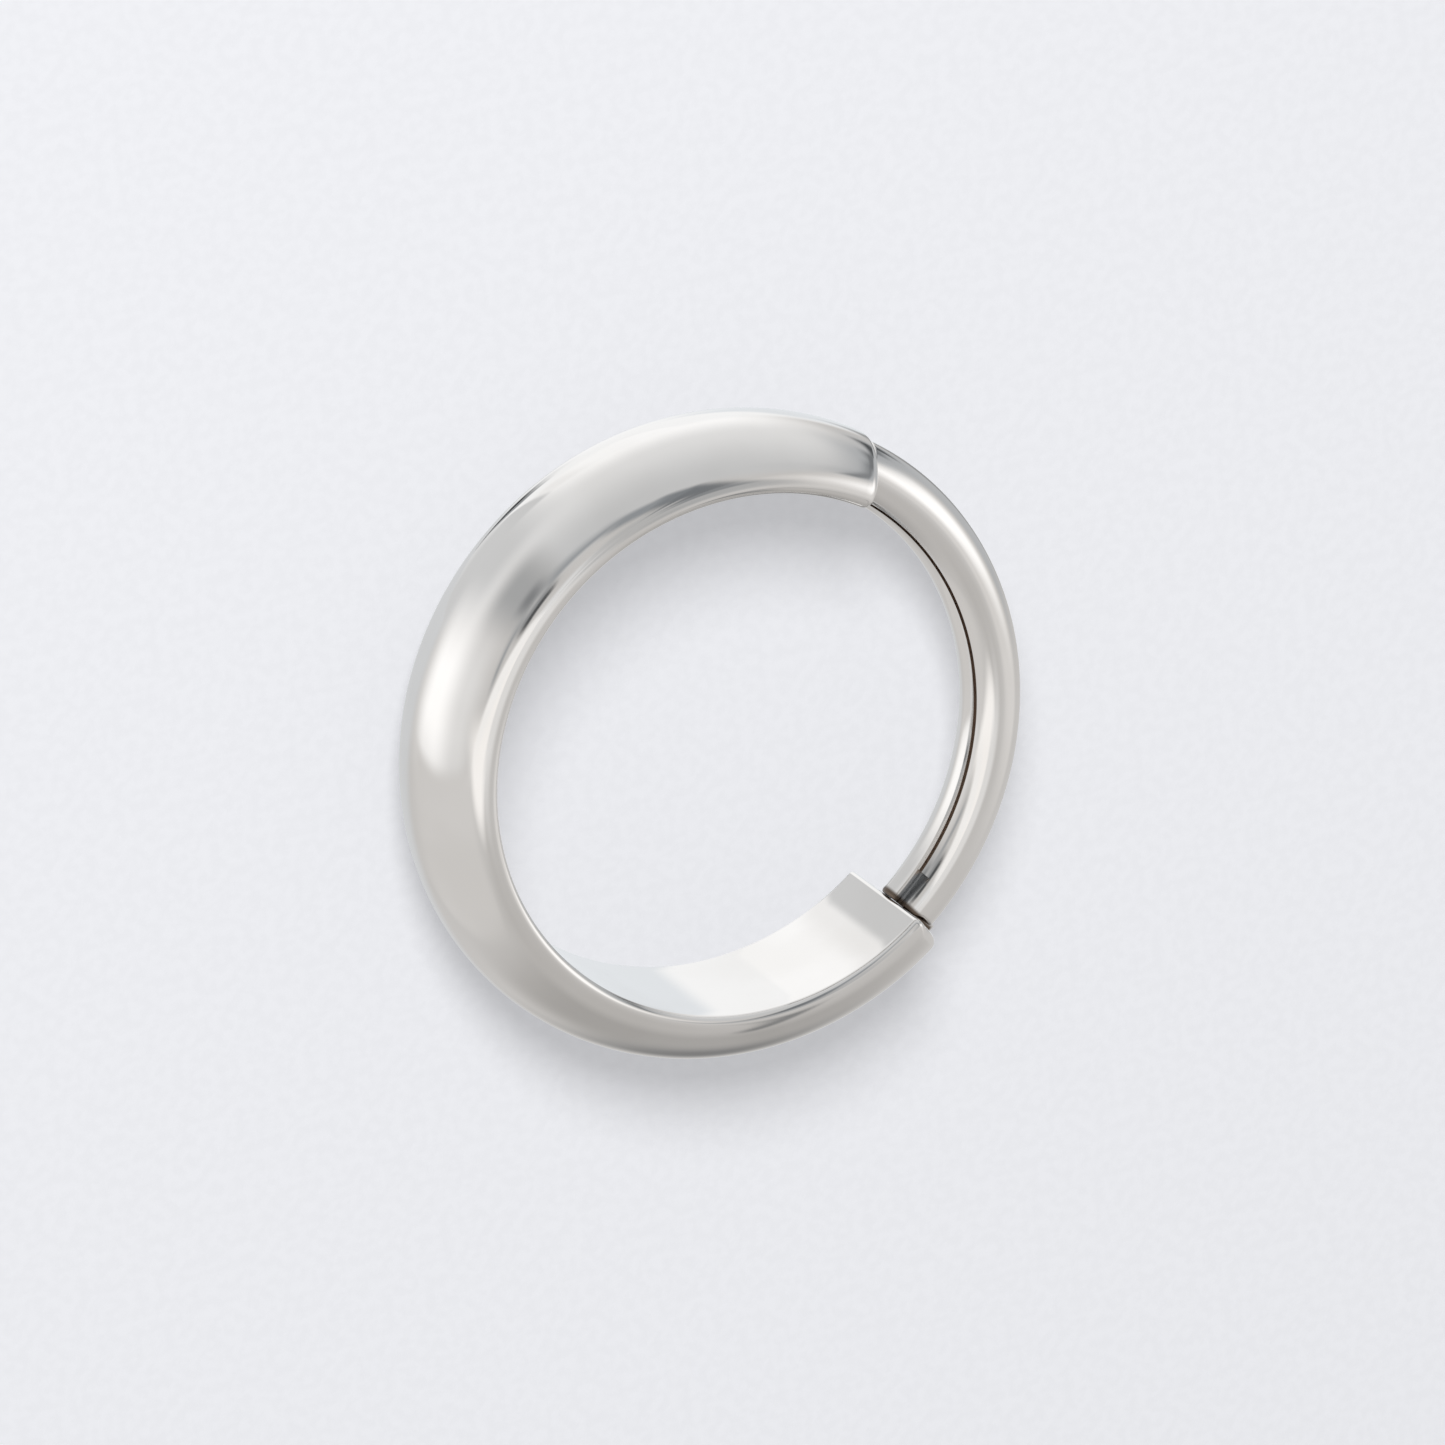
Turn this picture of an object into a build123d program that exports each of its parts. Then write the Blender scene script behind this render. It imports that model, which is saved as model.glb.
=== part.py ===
"""Huggie hoop earring: a domed band, a hinged ear wire and its hinge pin, in millimetres.

The hoop lies on its side. Its axis is +Z, the origin is on that axis at the level that the
lower rim rests on, the middle of the ear wire points along +X and the middle of the band
along -X. Angles run anticlockwise from +X, seen from above.
"""

from build123d import *
from math import atan2, cos, degrees, hypot, radians, sin
import os

# Driving sizes of the hoop
inner_diameter = 8.86
band_width = 2.70
band_thickness = 1.07
inner_edge_radius = 0.14
rim_radius = 0.55
joint_half_angle = 53.8
end_rounding = 0.13

# Driving sizes of the ear wire
wire_diameter = 1.00
wire_inset = 0.04
wire_lift = 0.07
wire_edge_rounding = 0.05
seam_width = 0.06
seam_depth = 0.12
seam_angle = 36.0
notch_width = 0.20
notch_length = 0.55
notch_depth = 0.20
notch_height = 0.33

# Driving sizes of the hinge
hinge_gap = 0.10
pin_diameter = 0.28
pin_outset = 0.29
pin_setback = 0.60
pin_reach_below = 0.83
pin_reach_above = 0.53
knuckle_radius = 0.24
tongue_thickness = 0.34
mortise_clearance = 0.03
pin_bore_clearance = 0.01
pin_running_clearance = 0.02

# Driving sizes of the catch
catch_gap = 0.05
nib_diameter = 0.34
nib_length = 0.20
nib_rounding = 0.11
nib_clearance = 0.05

# The band's sections from its catch end to its hinge end, lengths as shares of the half
# sweep on either side of the band's middle, of the band's width and of its thickness
stations = [
    # sweep, width, thickness
    (-1.000, 0.955, 0.960),
    (-0.833, 0.985, 0.956),
    (-0.667, 0.998, 0.964),
    (-0.500, 1.000, 0.972),
    (-0.333, 1.000, 0.972),
    (-0.167, 1.000, 0.978),
    (0.000, 1.000, 0.977),
    (0.167, 1.000, 0.974),
    (0.333, 1.000, 0.980),
    (0.500, 1.000, 1.000),
    (0.667, 0.998, 1.030),
    (0.833, 0.992, 1.055),
    (1.000, 0.980, 1.075),
]

# Sizes that follow from the driving ones
inner_radius = inner_diameter / 2
wire_radius = wire_diameter / 2
half_width = band_width / 2
wire_path_radius = inner_radius + wire_radius - wire_inset
wire_level = half_width + wire_lift
half_sweep = 180 - joint_half_angle
hinge_gap_angle = degrees(hinge_gap / wire_path_radius)
catch_gap_angle = degrees(catch_gap / wire_path_radius)
wire_start_angle = hinge_gap_angle - joint_half_angle
wire_sweep = 2 * joint_half_angle - hinge_gap_angle - catch_gap_angle
wire_end_y = hinge_gap + wire_edge_rounding
overrun = band_width


def radial_plane(angle):
    """Plane through the hoop's axis at an angle: X points outwards and Y along the axis.

    Its origin is on the axis, at the middle of the band's width.
    """
    outward = (cos(radians(angle)), sin(radians(angle)), 0)
    along = (sin(radians(angle)), -cos(radians(angle)), 0)
    return Plane(origin=(0, 0, half_width), x_dir=outward, z_dir=along)


def joint_plane(angle):
    """Plane across the hoop's axis at a joint: X points outwards and Y anticlockwise.

    Its origin is the ear wire's centre line, at the end face of the band.
    """
    outward = (cos(radians(angle)), sin(radians(angle)), 0)
    centre = (wire_path_radius * outward[0], wire_path_radius * outward[1], wire_level)
    return Plane(origin=centre, x_dir=outward, z_dir=(0, 0, 1))


def band_section(width, thickness):
    """Section of the band: a flat inner face, small inner edges, two soft rims and a dome.

    Each rim arc starts on top of its inner edge's arc and meets the dome on their common
    normal.
    """
    half = width / 2
    rim_start = inner_radius + inner_edge_radius
    edge_start = half - inner_edge_radius
    edge_shift = inner_edge_radius * (1 - cos(radians(45)))
    edge_middle = (inner_radius + edge_shift, half - edge_shift)
    rise = thickness - inner_edge_radius
    reach = half - rim_radius
    dome_radius = (rise**2 + reach**2 - rim_radius**2) / (2 * (rise - rim_radius))
    dome_centre = inner_radius + thickness - dome_radius
    run = rim_start - dome_centre
    share = dome_radius / hypot(run, reach)
    meet = (dome_centre + share * run, share * reach)
    rim_turn = (radians(90) + atan2(reach, run)) / 2
    rim_middle = (rim_start + rim_radius * cos(rim_turn), reach + rim_radius * sin(rim_turn))
    crown = (inner_radius + thickness, 0)
    with BuildSketch() as section:
        with BuildLine():
            Line((inner_radius, -edge_start), (inner_radius, edge_start))
            ThreePointArc((inner_radius, edge_start), edge_middle, (rim_start, half))
            ThreePointArc((rim_start, half), rim_middle, meet)
            ThreePointArc(meet, crown, (meet[0], -meet[1]))
            ThreePointArc((meet[0], -meet[1]), (rim_middle[0], -rim_middle[1]),
                          (rim_start, -half))
            ThreePointArc((rim_start, -half), (edge_middle[0], -edge_middle[1]),
                          (inner_radius, -edge_start))
        make_face()
    return section.sketch


def at_wire_centre(angle):
    """Plane across the ear wire at a joint: X points outwards and the normal anticlockwise."""
    across = joint_plane(angle)
    return Plane(origin=across.origin, x_dir=across.x_dir, z_dir=across.y_dir)


hinge_plane = joint_plane(-joint_half_angle)
catch_plane = joint_plane(joint_half_angle)
pin_centre = hinge_plane.from_local_coords(Vector(pin_outset, -pin_setback, 0))
pin_plane = Plane(origin=pin_centre, x_dir=hinge_plane.x_dir, z_dir=(0, 0, 1))

# The nib leaves its pocket square to the line from the pin, so it also moves outwards
pin_from_catch = catch_plane.to_local_coords(pin_centre)
nib_stand_out = nib_length - catch_gap
pocket_shift = nib_stand_out * abs(pin_from_catch.Y / pin_from_catch.X)

# Domed band: lofted once round the hoop, with eased end edges, a mortise and a pin bore at
# the hinge end and a pocket for the nib in the catch end
with BuildPart() as domed_band:
    for sweep, width, thickness in stations:
        with BuildSketch(radial_plane(180 + sweep * half_sweep)):
            add(band_section(width * band_width, thickness * band_thickness))
    loft()
    fillet(domed_band.faces().filter_by(GeomType.PLANE).edges(), radius=end_rounding)
    mortise_floor = pin_outset - knuckle_radius - mortise_clearance
    mortise_back = -(pin_setback + knuckle_radius + mortise_clearance)
    mortise_width = tongue_thickness + 2 * mortise_clearance
    with BuildSketch(hinge_plane.offset(-mortise_width / 2)):
        with Locations((mortise_floor, mortise_back)):
            Rectangle(overrun, overrun, align=(Align.MIN, Align.MIN))
    extrude(amount=mortise_width, mode=Mode.SUBTRACT)
    with BuildSketch(pin_plane.offset(pin_reach_above + pin_bore_clearance)):
        Circle(pin_diameter / 2 + pin_bore_clearance)
    extrude(amount=-overrun, mode=Mode.SUBTRACT)
    with BuildSketch(at_wire_centre(joint_half_angle)):
        with Locations((pocket_shift / 2, 0)):
            SlotCenterToCenter(pocket_shift, nib_diameter + 2 * nib_clearance)
    extrude(amount=nib_stand_out + nib_clearance, mode=Mode.SUBTRACT)

# Ear wire: a round wire bent to the hoop, with its seam and notch on the inner side, a
# tongue at the hinge end and a nib at the catch end
with BuildPart() as ear_wire:
    with BuildSketch(radial_plane(wire_start_angle)):
        with Locations((wire_path_radius, wire_lift)):
            Circle(wire_radius)
    revolve(axis=Axis.Z, revolution_arc=wire_sweep)
    fillet(ear_wire.edges().filter_by(GeomType.CIRCLE).filter_by(
        lambda edge: edge.radius < wire_diameter), radius=wire_edge_rounding)
    seam_turn = 180 - seam_angle
    seam_centre = (wire_path_radius + wire_radius * cos(radians(seam_turn)),
                   wire_lift + wire_radius * sin(radians(seam_turn)))
    with BuildSketch(radial_plane(-joint_half_angle)):
        with Locations(Location((*seam_centre, 0), (0, 0, seam_turn))):
            Rectangle(2 * seam_depth, seam_width)
    revolve(axis=Axis.Z, revolution_arc=2 * joint_half_angle, mode=Mode.SUBTRACT)
    with BuildSketch(hinge_plane.offset(notch_height - notch_width / 2)):
        with Locations((notch_depth - wire_radius, hinge_gap + notch_length)):
            Rectangle(wire_radius, notch_length + wire_radius, align=(Align.MAX, Align.MAX))
    extrude(amount=notch_width, mode=Mode.SUBTRACT)
    with BuildSketch(hinge_plane.offset(-tongue_thickness / 2)):
        with Locations((pin_outset, -pin_setback)):
            Circle(knuckle_radius)
            Rectangle(2 * knuckle_radius, pin_setback + wire_end_y,
                      align=(Align.CENTER, Align.MIN))
            Circle(pin_diameter / 2 + pin_running_clearance, mode=Mode.SUBTRACT)
    extrude(amount=tongue_thickness)
    with BuildSketch(at_wire_centre(joint_half_angle).offset(nib_stand_out)):
        Circle(nib_diameter / 2)
    extrude(amount=-(nib_length + wire_edge_rounding))
    nib_tip = ear_wire.faces().filter_by(GeomType.PLANE).sort_by(
        Axis(origin=catch_plane.origin, direction=catch_plane.y_dir))[-1]
    fillet(nib_tip.edges(), radius=nib_rounding)

# Hinge pin: a plain pin through the knuckle, in a bore that opens on the lower flank
with BuildPart() as hinge_pin:
    with BuildSketch(pin_plane.offset(-pin_reach_below)):
        Circle(pin_diameter / 2)
    extrude(amount=pin_reach_below + pin_reach_above)

domed_band.part.label = "domed_band"
ear_wire.part.label = "ear_wire"
hinge_pin.part.label = "hinge_pin"

os.makedirs("parts", exist_ok=True)
export_step(domed_band.part, "parts/domed_band.step")
export_step(ear_wire.part, "parts/ear_wire.step")
export_step(hinge_pin.part, "parts/hinge_pin.step")
print("hinge pin centre", pin_centre)
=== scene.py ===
"""Huggie hoop earring, lying on its side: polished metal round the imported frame, in metres."""

import logging
import math
from collections.abc import Callable
from dataclasses import dataclass
from enum import Enum
from typing import NamedTuple

import bpy
from mathutils import Matrix, Vector


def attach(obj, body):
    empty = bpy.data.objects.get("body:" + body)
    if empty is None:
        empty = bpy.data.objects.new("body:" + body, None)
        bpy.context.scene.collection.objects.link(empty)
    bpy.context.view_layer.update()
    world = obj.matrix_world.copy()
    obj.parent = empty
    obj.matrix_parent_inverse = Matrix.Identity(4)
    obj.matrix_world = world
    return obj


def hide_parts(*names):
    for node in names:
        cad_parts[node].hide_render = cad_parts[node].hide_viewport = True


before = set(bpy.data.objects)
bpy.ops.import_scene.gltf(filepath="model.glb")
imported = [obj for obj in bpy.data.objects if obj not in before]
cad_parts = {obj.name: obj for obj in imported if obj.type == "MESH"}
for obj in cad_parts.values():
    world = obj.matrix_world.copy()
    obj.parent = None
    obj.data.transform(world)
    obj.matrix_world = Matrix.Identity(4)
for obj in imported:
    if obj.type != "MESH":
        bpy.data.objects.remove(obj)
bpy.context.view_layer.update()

MM = 0.001
QUARTER = math.pi / 2.0
WHOLE = 2.0 * math.pi
SHARP_TURN = math.radians(35.0)
# How far from an end face the plain sections begin, in radii of the end's rounding
END_MARGIN = 1.25
# How many steps a hole, the knuckle's far half, the nib and the edge of its tip have
HOLE_STEPS = 48
KNUCKLE_STEPS = 28
NIB_STEPS = 40
NIB_EDGE_STEPS = 8
LOG = logging.getLogger("huggie")

Pair = tuple[float, float]
Point = tuple[float, float, float]
Colour = tuple[float, float, float, float]
Row = list[Point]
Outline = list[Pair]
Solid = bpy.types.Object
Socket = bpy.types.NodeSocket
Feed = Socket | float | tuple[float, ...]


@dataclass(frozen=True)
class ProfilePoint:
    """A point of a cross-section that can be eased inwards.

    Attributes:
        place: Its place: outwards from the hoop's axis or wire's centre, and along the axis.
        normal: The direction that it faces, of unit length.
        share: How much of an end's rounding it takes, from 0 to 1.
    """

    place: Pair
    normal: Pair
    share: float

    def mirrored(self) -> "ProfilePoint":
        """Returns the point's twin on the other side of the section's middle."""
        return ProfilePoint((self.place[0], -self.place[1]),
                            (self.normal[0], -self.normal[1]), self.share)

    def raised(self, height: float) -> "ProfilePoint":
        """Returns the point moved up along the axis."""
        return ProfilePoint((self.place[0], self.place[1] + height), self.normal, self.share)

    def eased(self, inset: float) -> Pair:
        """Returns the place after moving in by an inset."""
        return (self.place[0] - self.normal[0] * inset, self.place[1] - self.normal[1] * inset)


@dataclass(frozen=True)
class HoopSizes:
    """Sizes that the band, the wire and the hinge share, in metres."""

    inner_radius: float = 4.43 * MM
    half_width: float = 1.35 * MM
    thickness: float = 1.07 * MM
    inner_edge: float = 0.12 * MM
    rim_radius: float = 0.55 * MM
    joint_half_angle: float = math.radians(53.8)
    wire_radius: float = 0.50 * MM
    wire_path_radius: float = 4.89 * MM
    wire_lift: float = 0.07 * MM
    hinge_gap: float = 0.10 * MM
    catch_gap: float = 0.05 * MM
    pin_radius: float = 0.14 * MM
    pin_outset: float = 0.29 * MM
    pin_setback: float = 0.60 * MM
    pin_reach_below: float = 0.83 * MM
    pin_reach_above: float = 0.53 * MM
    knuckle_radius: float = 0.24 * MM
    tongue_thickness: float = 0.34 * MM
    nib_radius: float = 0.17 * MM
    nib_stand_out: float = 0.15 * MM
    mortise_clearance: float = 0.03 * MM
    bore_clearance: float = 0.01 * MM
    running_clearance: float = 0.02 * MM
    nib_clearance: float = 0.05 * MM

    @property
    def wire_level(self) -> float:
        """Returns the height of the wire's centre line over the floor."""
        return self.half_width + self.wire_lift

    def joint_frame(self, side: int) -> Matrix:
        """Returns the frame at the catch (1) or the hinge (-1): X outwards, Y anticlockwise."""
        turn = Matrix.Rotation(side * self.joint_half_angle, 4, "Z")
        return turn @ Matrix.Translation((self.wire_path_radius, 0.0, self.wire_level))

    def pocket_shift(self) -> float:
        """Returns how far outwards the nib moves while it leaves its pocket."""
        spot = Vector((self.pin_outset, -self.pin_setback, 0.0))
        seen = self.joint_frame(1).inverted() @ (self.joint_frame(-1) @ spot)
        return self.nib_stand_out * abs(seen.y / seen.x)


HOOP = HoopSizes()


class EndShares(NamedTuple):
    """How much of the end rounding the crown, the rims and the inner edges take, from 0 to 1."""

    crown: float
    rim: float
    edge: float

    def towards(self, other: "EndShares", share: float) -> "EndShares":
        """Returns the shares part of the way towards another end's."""
        return EndShares(*(here + (there - here) * share for here, there in zip(self, other)))


class Station(NamedTuple):
    """A section of the band, as shares of its full width, thickness and inner edges."""

    width: float
    thickness: float
    edge: float = 1.0


# The band's sections at even steps from its catch end to its hinge end
STATIONS = tuple(Station(*row) for row in (
    (0.955, 0.960, 1.5), (0.985, 0.956, 1.2), (0.998, 0.964), (1.000, 0.972), (1.000, 0.972),
    (1.000, 0.978), (1.000, 0.977), (1.000, 0.974), (1.000, 0.980), (1.000, 1.000),
    (0.998, 1.030), (0.992, 1.055), (0.980, 1.075)))


def direction(azimuth: float, elevation: float) -> Vector:
    """Returns the unit vector towards an azimuth and elevation."""
    flat = math.cos(elevation)
    return Vector((flat * math.cos(azimuth), flat * math.sin(azimuth), math.sin(elevation)))


def smooth_step(value: float) -> float:
    """Returns 0 below 0, 1 above 1 and an eased value between them."""
    held = min(max(value, 0.0), 1.0)
    return held * held * (3.0 - 2.0 * held)


def through_values(values: tuple[float, ...], position: float) -> float:
    """Reads a smooth curve that runs through evenly spaced values.

    Args:
        values: The values that the curve passes.
        position: Where to read it, counted in values from 0.

    Returns:
        The curve's value there.
    """
    last = len(values) - 1
    held = min(max(position, 0.0), float(last))
    index = min(int(held), last - 1)
    share = held - index
    left, right = values[index], values[index + 1]
    before = values[index - 1] if index > 0 else 2.0 * left - right
    after = values[index + 2] if index + 2 <= last else 2.0 * right - left
    bend = 2.0 * before - 5.0 * left + 4.0 * right - after
    turn = 3.0 * (left - right) + after - before
    return left + 0.5 * share * (right - before + share * (bend + share * turn))


def mesh_object(name: str, points: list[Point], faces: list[tuple[int, ...]],
                flat: frozenset[int] = frozenset()) -> Solid:
    """Makes a smooth-shaded mesh object and links it to the scene.

    Args:
        name: The object's name.
        points: The vertices.
        faces: The faces, as rows of vertex numbers.
        flat: Numbers of the faces that are shaded flat.

    Returns:
        The new object.
    """
    mesh = bpy.data.meshes.new(name)
    mesh.from_pydata(points, [], faces)
    for number, polygon in enumerate(mesh.polygons):
        polygon.use_smooth = number not in flat
    mesh.validate()
    mesh.update()
    made = bpy.data.objects.new(name, mesh)
    bpy.context.scene.collection.objects.link(made)
    return made


def skin_rows(name: str, rows: list[Row]) -> Solid:
    """Skins closed rows of points in order and caps the first and last row flat.

    Args:
        name: The object's name.
        rows: Rows of as many points each, in order along the piece.

    Returns:
        The closed mesh object.
    """
    count = len(rows[0])
    points = [point for row in rows for point in row]
    faces: list[tuple[int, ...]] = []
    for index in range(len(rows) - 1):
        near, far = index * count, (index + 1) * count
        for step in range(count):
            after = (step + 1) % count
            faces.append((near + step, near + after, far + after, far + step))
    last = (len(rows) - 1) * count
    caps = frozenset({len(faces), len(faces) + 1})
    faces.append(tuple(reversed(range(count))))
    faces.append(tuple(range(last, last + count)))
    return mesh_object(name, points, faces, caps)


def polar_point(outward: float, height: float, angle: float) -> Point:
    """Returns the point at a radius and height, at an angle about the hoop's axis."""
    return (outward * math.cos(angle), outward * math.sin(angle), height)


def swept_rows(profile_at: Callable[[float], list[ProfilePoint]], start: float, end: float,
               rounding: float, body_steps: int, end_steps: int) -> list[Row]:
    """Sweeps a profile about the hoop's axis and rounds the edges of both ends.

    Args:
        profile_at: Gives the profile at an angle, with heights over the floor.
        start: The angle of the first end face.
        end: The angle of the last end face.
        rounding: The radius of the rounded end edges.
        body_steps: How many steps the middle stretch has.
        end_steps: How many steps each rounding has.

    Returns:
        Rows of points from the first end face to the last.
    """
    def row(angle: float, turn: float | None, side: int) -> Row:
        """Returns one row, eased by its turn into the rounding, or plain without one."""
        away = 0.0 if turn is None else rounding * (1.0 - math.sin(turn))
        inset = 0.0 if turn is None else rounding * (1.0 - math.cos(turn))
        made: Row = []
        for point in profile_at(angle + side * away / HOOP.wire_path_radius):
            outward, height = point.eased(inset * point.share)
            slide = side * away * point.share / max(outward, HOOP.inner_radius / 2.0)
            made.append(polar_point(outward, height, angle + slide))
        return made

    turns = [QUARTER * step / end_steps for step in range(end_steps + 1)]
    first = [row(start, turn, 1) for turn in reversed(turns)]
    last = [row(end, turn, -1) for turn in turns]
    margin = END_MARGIN * rounding / HOOP.inner_radius
    span = end - start - 2.0 * margin
    middle = [row(start + margin + span * step / body_steps, None, 1)
              for step in range(body_steps + 1)]
    return first + middle + last


def arc_points(centre: Pair, radius: float, start: float, end: float, steps: int) -> Outline:
    """Returns the points of an arc, both ends included."""
    return [(centre[0] + radius * math.cos(start + (end - start) * step / steps),
             centre[1] + radius * math.sin(start + (end - start) * step / steps))
            for step in range(steps + 1)]


def prism_object(name: str, outline: Outline, low: float, high: float) -> Solid:
    """Makes a closed prism on an anticlockwise outline in X and Y, between two heights."""
    rows = [[(across, along, height) for across, along in outline] for height in (low, high)]
    return skin_rows(name, rows)


def box_outline(low: Pair, high: Pair) -> Outline:
    """Returns the corners of an upright rectangle, anticlockwise."""
    return [low, (high[0], low[1]), high, (low[0], high[1])]


def turned_object(name: str, outline: Outline, steps: int) -> Solid:
    """Turns an outline of radii and heights, from the lower cap to the upper one, about Z."""
    rows = [[polar_point(radius, height, WHOLE * step / steps) for step in range(steps)]
            for radius, height in outline]
    return skin_rows(name, rows)


class Cut(Enum):
    """Ways to join one solid with another."""

    REMOVE = "DIFFERENCE"
    JOIN = "UNION"


def combine(target: Solid, tool: Solid, way: Cut) -> None:
    """Applies a boolean of one solid to another and deletes the tool.

    Args:
        target: The solid that is changed.
        tool: The solid that cuts it or joins it.
        way: Whether the tool is removed or joined.
    """
    modifier = target.modifiers.new("combine", "BOOLEAN")
    modifier.object = tool
    modifier.operation = way.value
    modifier.solver = "EXACT"
    bpy.context.view_layer.update()
    evaluated = target.evaluated_get(bpy.context.evaluated_depsgraph_get())
    made = bpy.data.meshes.new_from_object(evaluated)
    old = target.data
    target.modifiers.clear()
    target.data = made
    made.name = target.name
    bpy.data.meshes.remove(old)
    spent = tool.data
    bpy.data.objects.remove(tool)
    bpy.data.meshes.remove(spent)


def place(made: Solid, matrix: Matrix) -> Solid:
    """Carries an object's mesh to its place, leaving the object at the origin."""
    made.data.transform(matrix)
    made.data.update()
    return made


@dataclass(frozen=True)
class NodeBoard:
    """Adds nodes to one node tree and links them."""

    tree: bpy.types.NodeTree

    def feed(self, entry: Socket, value: Feed) -> None:
        """Links a socket to an input, or sets the input to a number, vector or colour."""
        if isinstance(value, Socket):
            self.tree.links.new(value, entry)
        else:
            entry.default_value = value

    def fill(self, node: bpy.types.Node, values: dict[str, Feed]) -> bpy.types.Node:
        """Feeds a node's inputs by their names and returns the node."""
        for name, value in values.items():
            self.feed(node.inputs[name], value)
        return node

    def add(self, kind: str, values: dict[str, Feed] | None = None) -> bpy.types.Node:
        """Adds a node of a kind and feeds its named inputs."""
        return self.fill(self.tree.nodes.new(kind), values or {})

    def calc(self, operation: str, *values: Socket | float) -> Socket:
        """Adds a math node.

        Args:
            operation: The math node's operation.
            *values: A socket or a number for each input.

        Returns:
            The result.
        """
        node = self.add("ShaderNodeMath")
        node.operation = operation
        for entry, value in zip(node.inputs, values):
            self.feed(entry, value)
        return node.outputs[0]

    def along(self, spot: Socket, way: Point) -> Socket:
        """Returns how far a place lies along a direction."""
        node = self.add("ShaderNodeVectorMath")
        node.operation = "DOT_PRODUCT"
        self.feed(node.inputs[0], spot)
        self.feed(node.inputs[1], way)
        return node.outputs["Value"]

    def hypotenuse(self, across: Socket, along: Socket) -> Socket:
        """Returns the length of the diagonal over two lengths."""
        squared = self.calc("MULTIPLY", along, along)
        return self.calc("SQRT", self.calc("MULTIPLY_ADD", across, across, squared))

    def eased(self, value: Socket, source: Pair, target: Pair) -> Socket:
        """Maps a value from one range to another, eased and held at both ends.

        Args:
            value: The value that is mapped.
            source: The range that it comes from.
            target: The range that it goes to.

        Returns:
            The mapped value.
        """
        node = self.add("ShaderNodeMapRange", {
            "Value": value, "From Min": source[0], "From Max": source[1],
            "To Min": target[0], "To Max": target[1]})
        node.interpolation_type = "SMOOTHSTEP"
        return node.outputs["Result"]

    def mix(self, share: Socket, before: Socket | Colour, after: Socket | Colour) -> Socket:
        """Mixes two colours.

        Args:
            share: How much of the second colour is taken.
            before: The first colour, or a socket that gives it.
            after: The second colour, or a socket that gives it.

        Returns:
            The mixed colour.
        """
        values = {"Fac": share, "Color1": before, "Color2": after}
        return self.add("ShaderNodeMixRGB", values).outputs["Color"]

    def noise(self, spot: Socket, scale: float, detail: float = 3.0) -> Socket:
        """Adds a noise pattern of about 0.5 in the middle.

        Args:
            spot: The coordinates that it is read at.
            scale: How many features it has in a metre.
            detail: How many finer layers it has.

        Returns:
            The noise value.
        """
        values = {"Vector": spot, "Scale": scale, "Detail": detail}
        return self.add("ShaderNodeTexNoise", values).outputs["Fac"]

    def stretched(self, spot: Socket, scale: Point) -> Socket:
        """Scales coordinates by different amounts along their axes."""
        return self.add("ShaderNodeMapping", {"Scale": scale, "Vector": spot}).outputs["Vector"]

    def within(self, value: Socket, half: float, fade: float) -> Socket:
        """Returns 1 for a value nearer to 0 than a half width, fading over its edge to 0."""
        return self.eased(self.calc("ABSOLUTE", value), (half - fade, half + fade), (1.0, 0.0))

    def bump(self, height: Socket, strength: float, distance: float) -> Socket:
        """Turns a height pattern into a bumped normal."""
        values = {"Strength": strength, "Distance": distance, "Height": height}
        return self.add("ShaderNodeBump", values).outputs["Normal"]


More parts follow.
